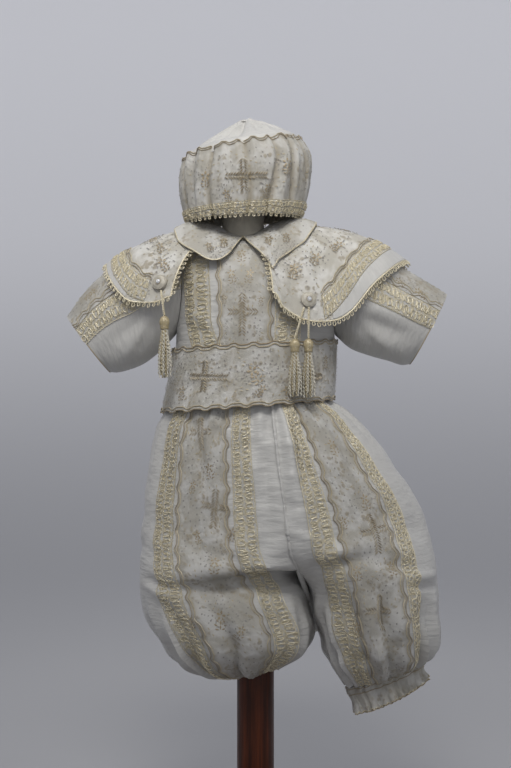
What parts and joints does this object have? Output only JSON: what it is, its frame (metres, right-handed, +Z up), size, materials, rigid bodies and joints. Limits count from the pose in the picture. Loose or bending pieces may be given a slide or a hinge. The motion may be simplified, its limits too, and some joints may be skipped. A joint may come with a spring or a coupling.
{
  "type": "christening romper suit with cap on a limbless dress form stand",
  "caption": "Infant christening romper with balloon legs, shoulder capelets, collar, lace belt, tassels and matching cap, worn by a dress form on a wooden post.",
  "frame": {"origin": "centre of the base's underside, on the post's axis", "axes": "+Z up along the post; -Y is the front of the suit; +X is the wearer's left"},
  "size_m": [0.3798, 0.25, 0.7102],
  "materials": {
    "satin": "ivory slubbed satin, soft sheen",
    "lace": "sheer cream lace with small crosses, sprigs and dots over satin",
    "braid": "looped gold-cream braid",
    "tassel": "twisted gold-cream cord",
    "stone": "clear faceted stone",
    "form_cover": "smooth grey jersey cover",
    "wood": "reddish brown stain, satin varnish"
  },
  "bodies": {
    "root": {"bodice_front": "satin", "bodice_back": "satin", "sleeve_right": "satin", "sleeve_left": "satin", "leg_right": "satin", "leg_left": "satin", "leg_cuff_right": "satin", "leg_cuff_left": "satin", "capelet_right": "satin", "capelet_left": "satin", "collar_right": "satin", "collar_left": "satin", "hat_crown": "satin", "button_right": "satin", "button_left": "satin", "bodice_lace": "lace", "sleeve_lace_right": "lace", "sleeve_lace_left": "lace", "leg_lace_right": "lace", "leg_lace_left": "lace", "belt": "lace", "hat_band": "lace", "capelet_edging_right": "lace", "capelet_edging_left": "lace", "bodice_braid_right": "braid", "bodice_braid_left": "braid", "sleeve_braid_right": "braid", "sleeve_braid_left": "braid", "leg_braid_outer_right": "braid", "leg_braid_outer_left": "braid", "leg_braid_inner_right": "braid", "leg_braid_inner_left": "braid", "capelet_braid_right": "braid", "capelet_braid_left": "braid", "hat_edging": "braid", "tassel_right": "tassel", "tassel_left_inner": "tassel", "tassel_left_outer": "tassel", "tassel_cord_right": "tassel", "tassel_cord_left_inner": "tassel", "tassel_cord_left_outer": "tassel", "button_stone_right": "stone", "button_stone_left": "stone", "dress_form": "form_cover", "stand_pole": "wood", "stand_base": "wood"}
  },
  "joints": []
}
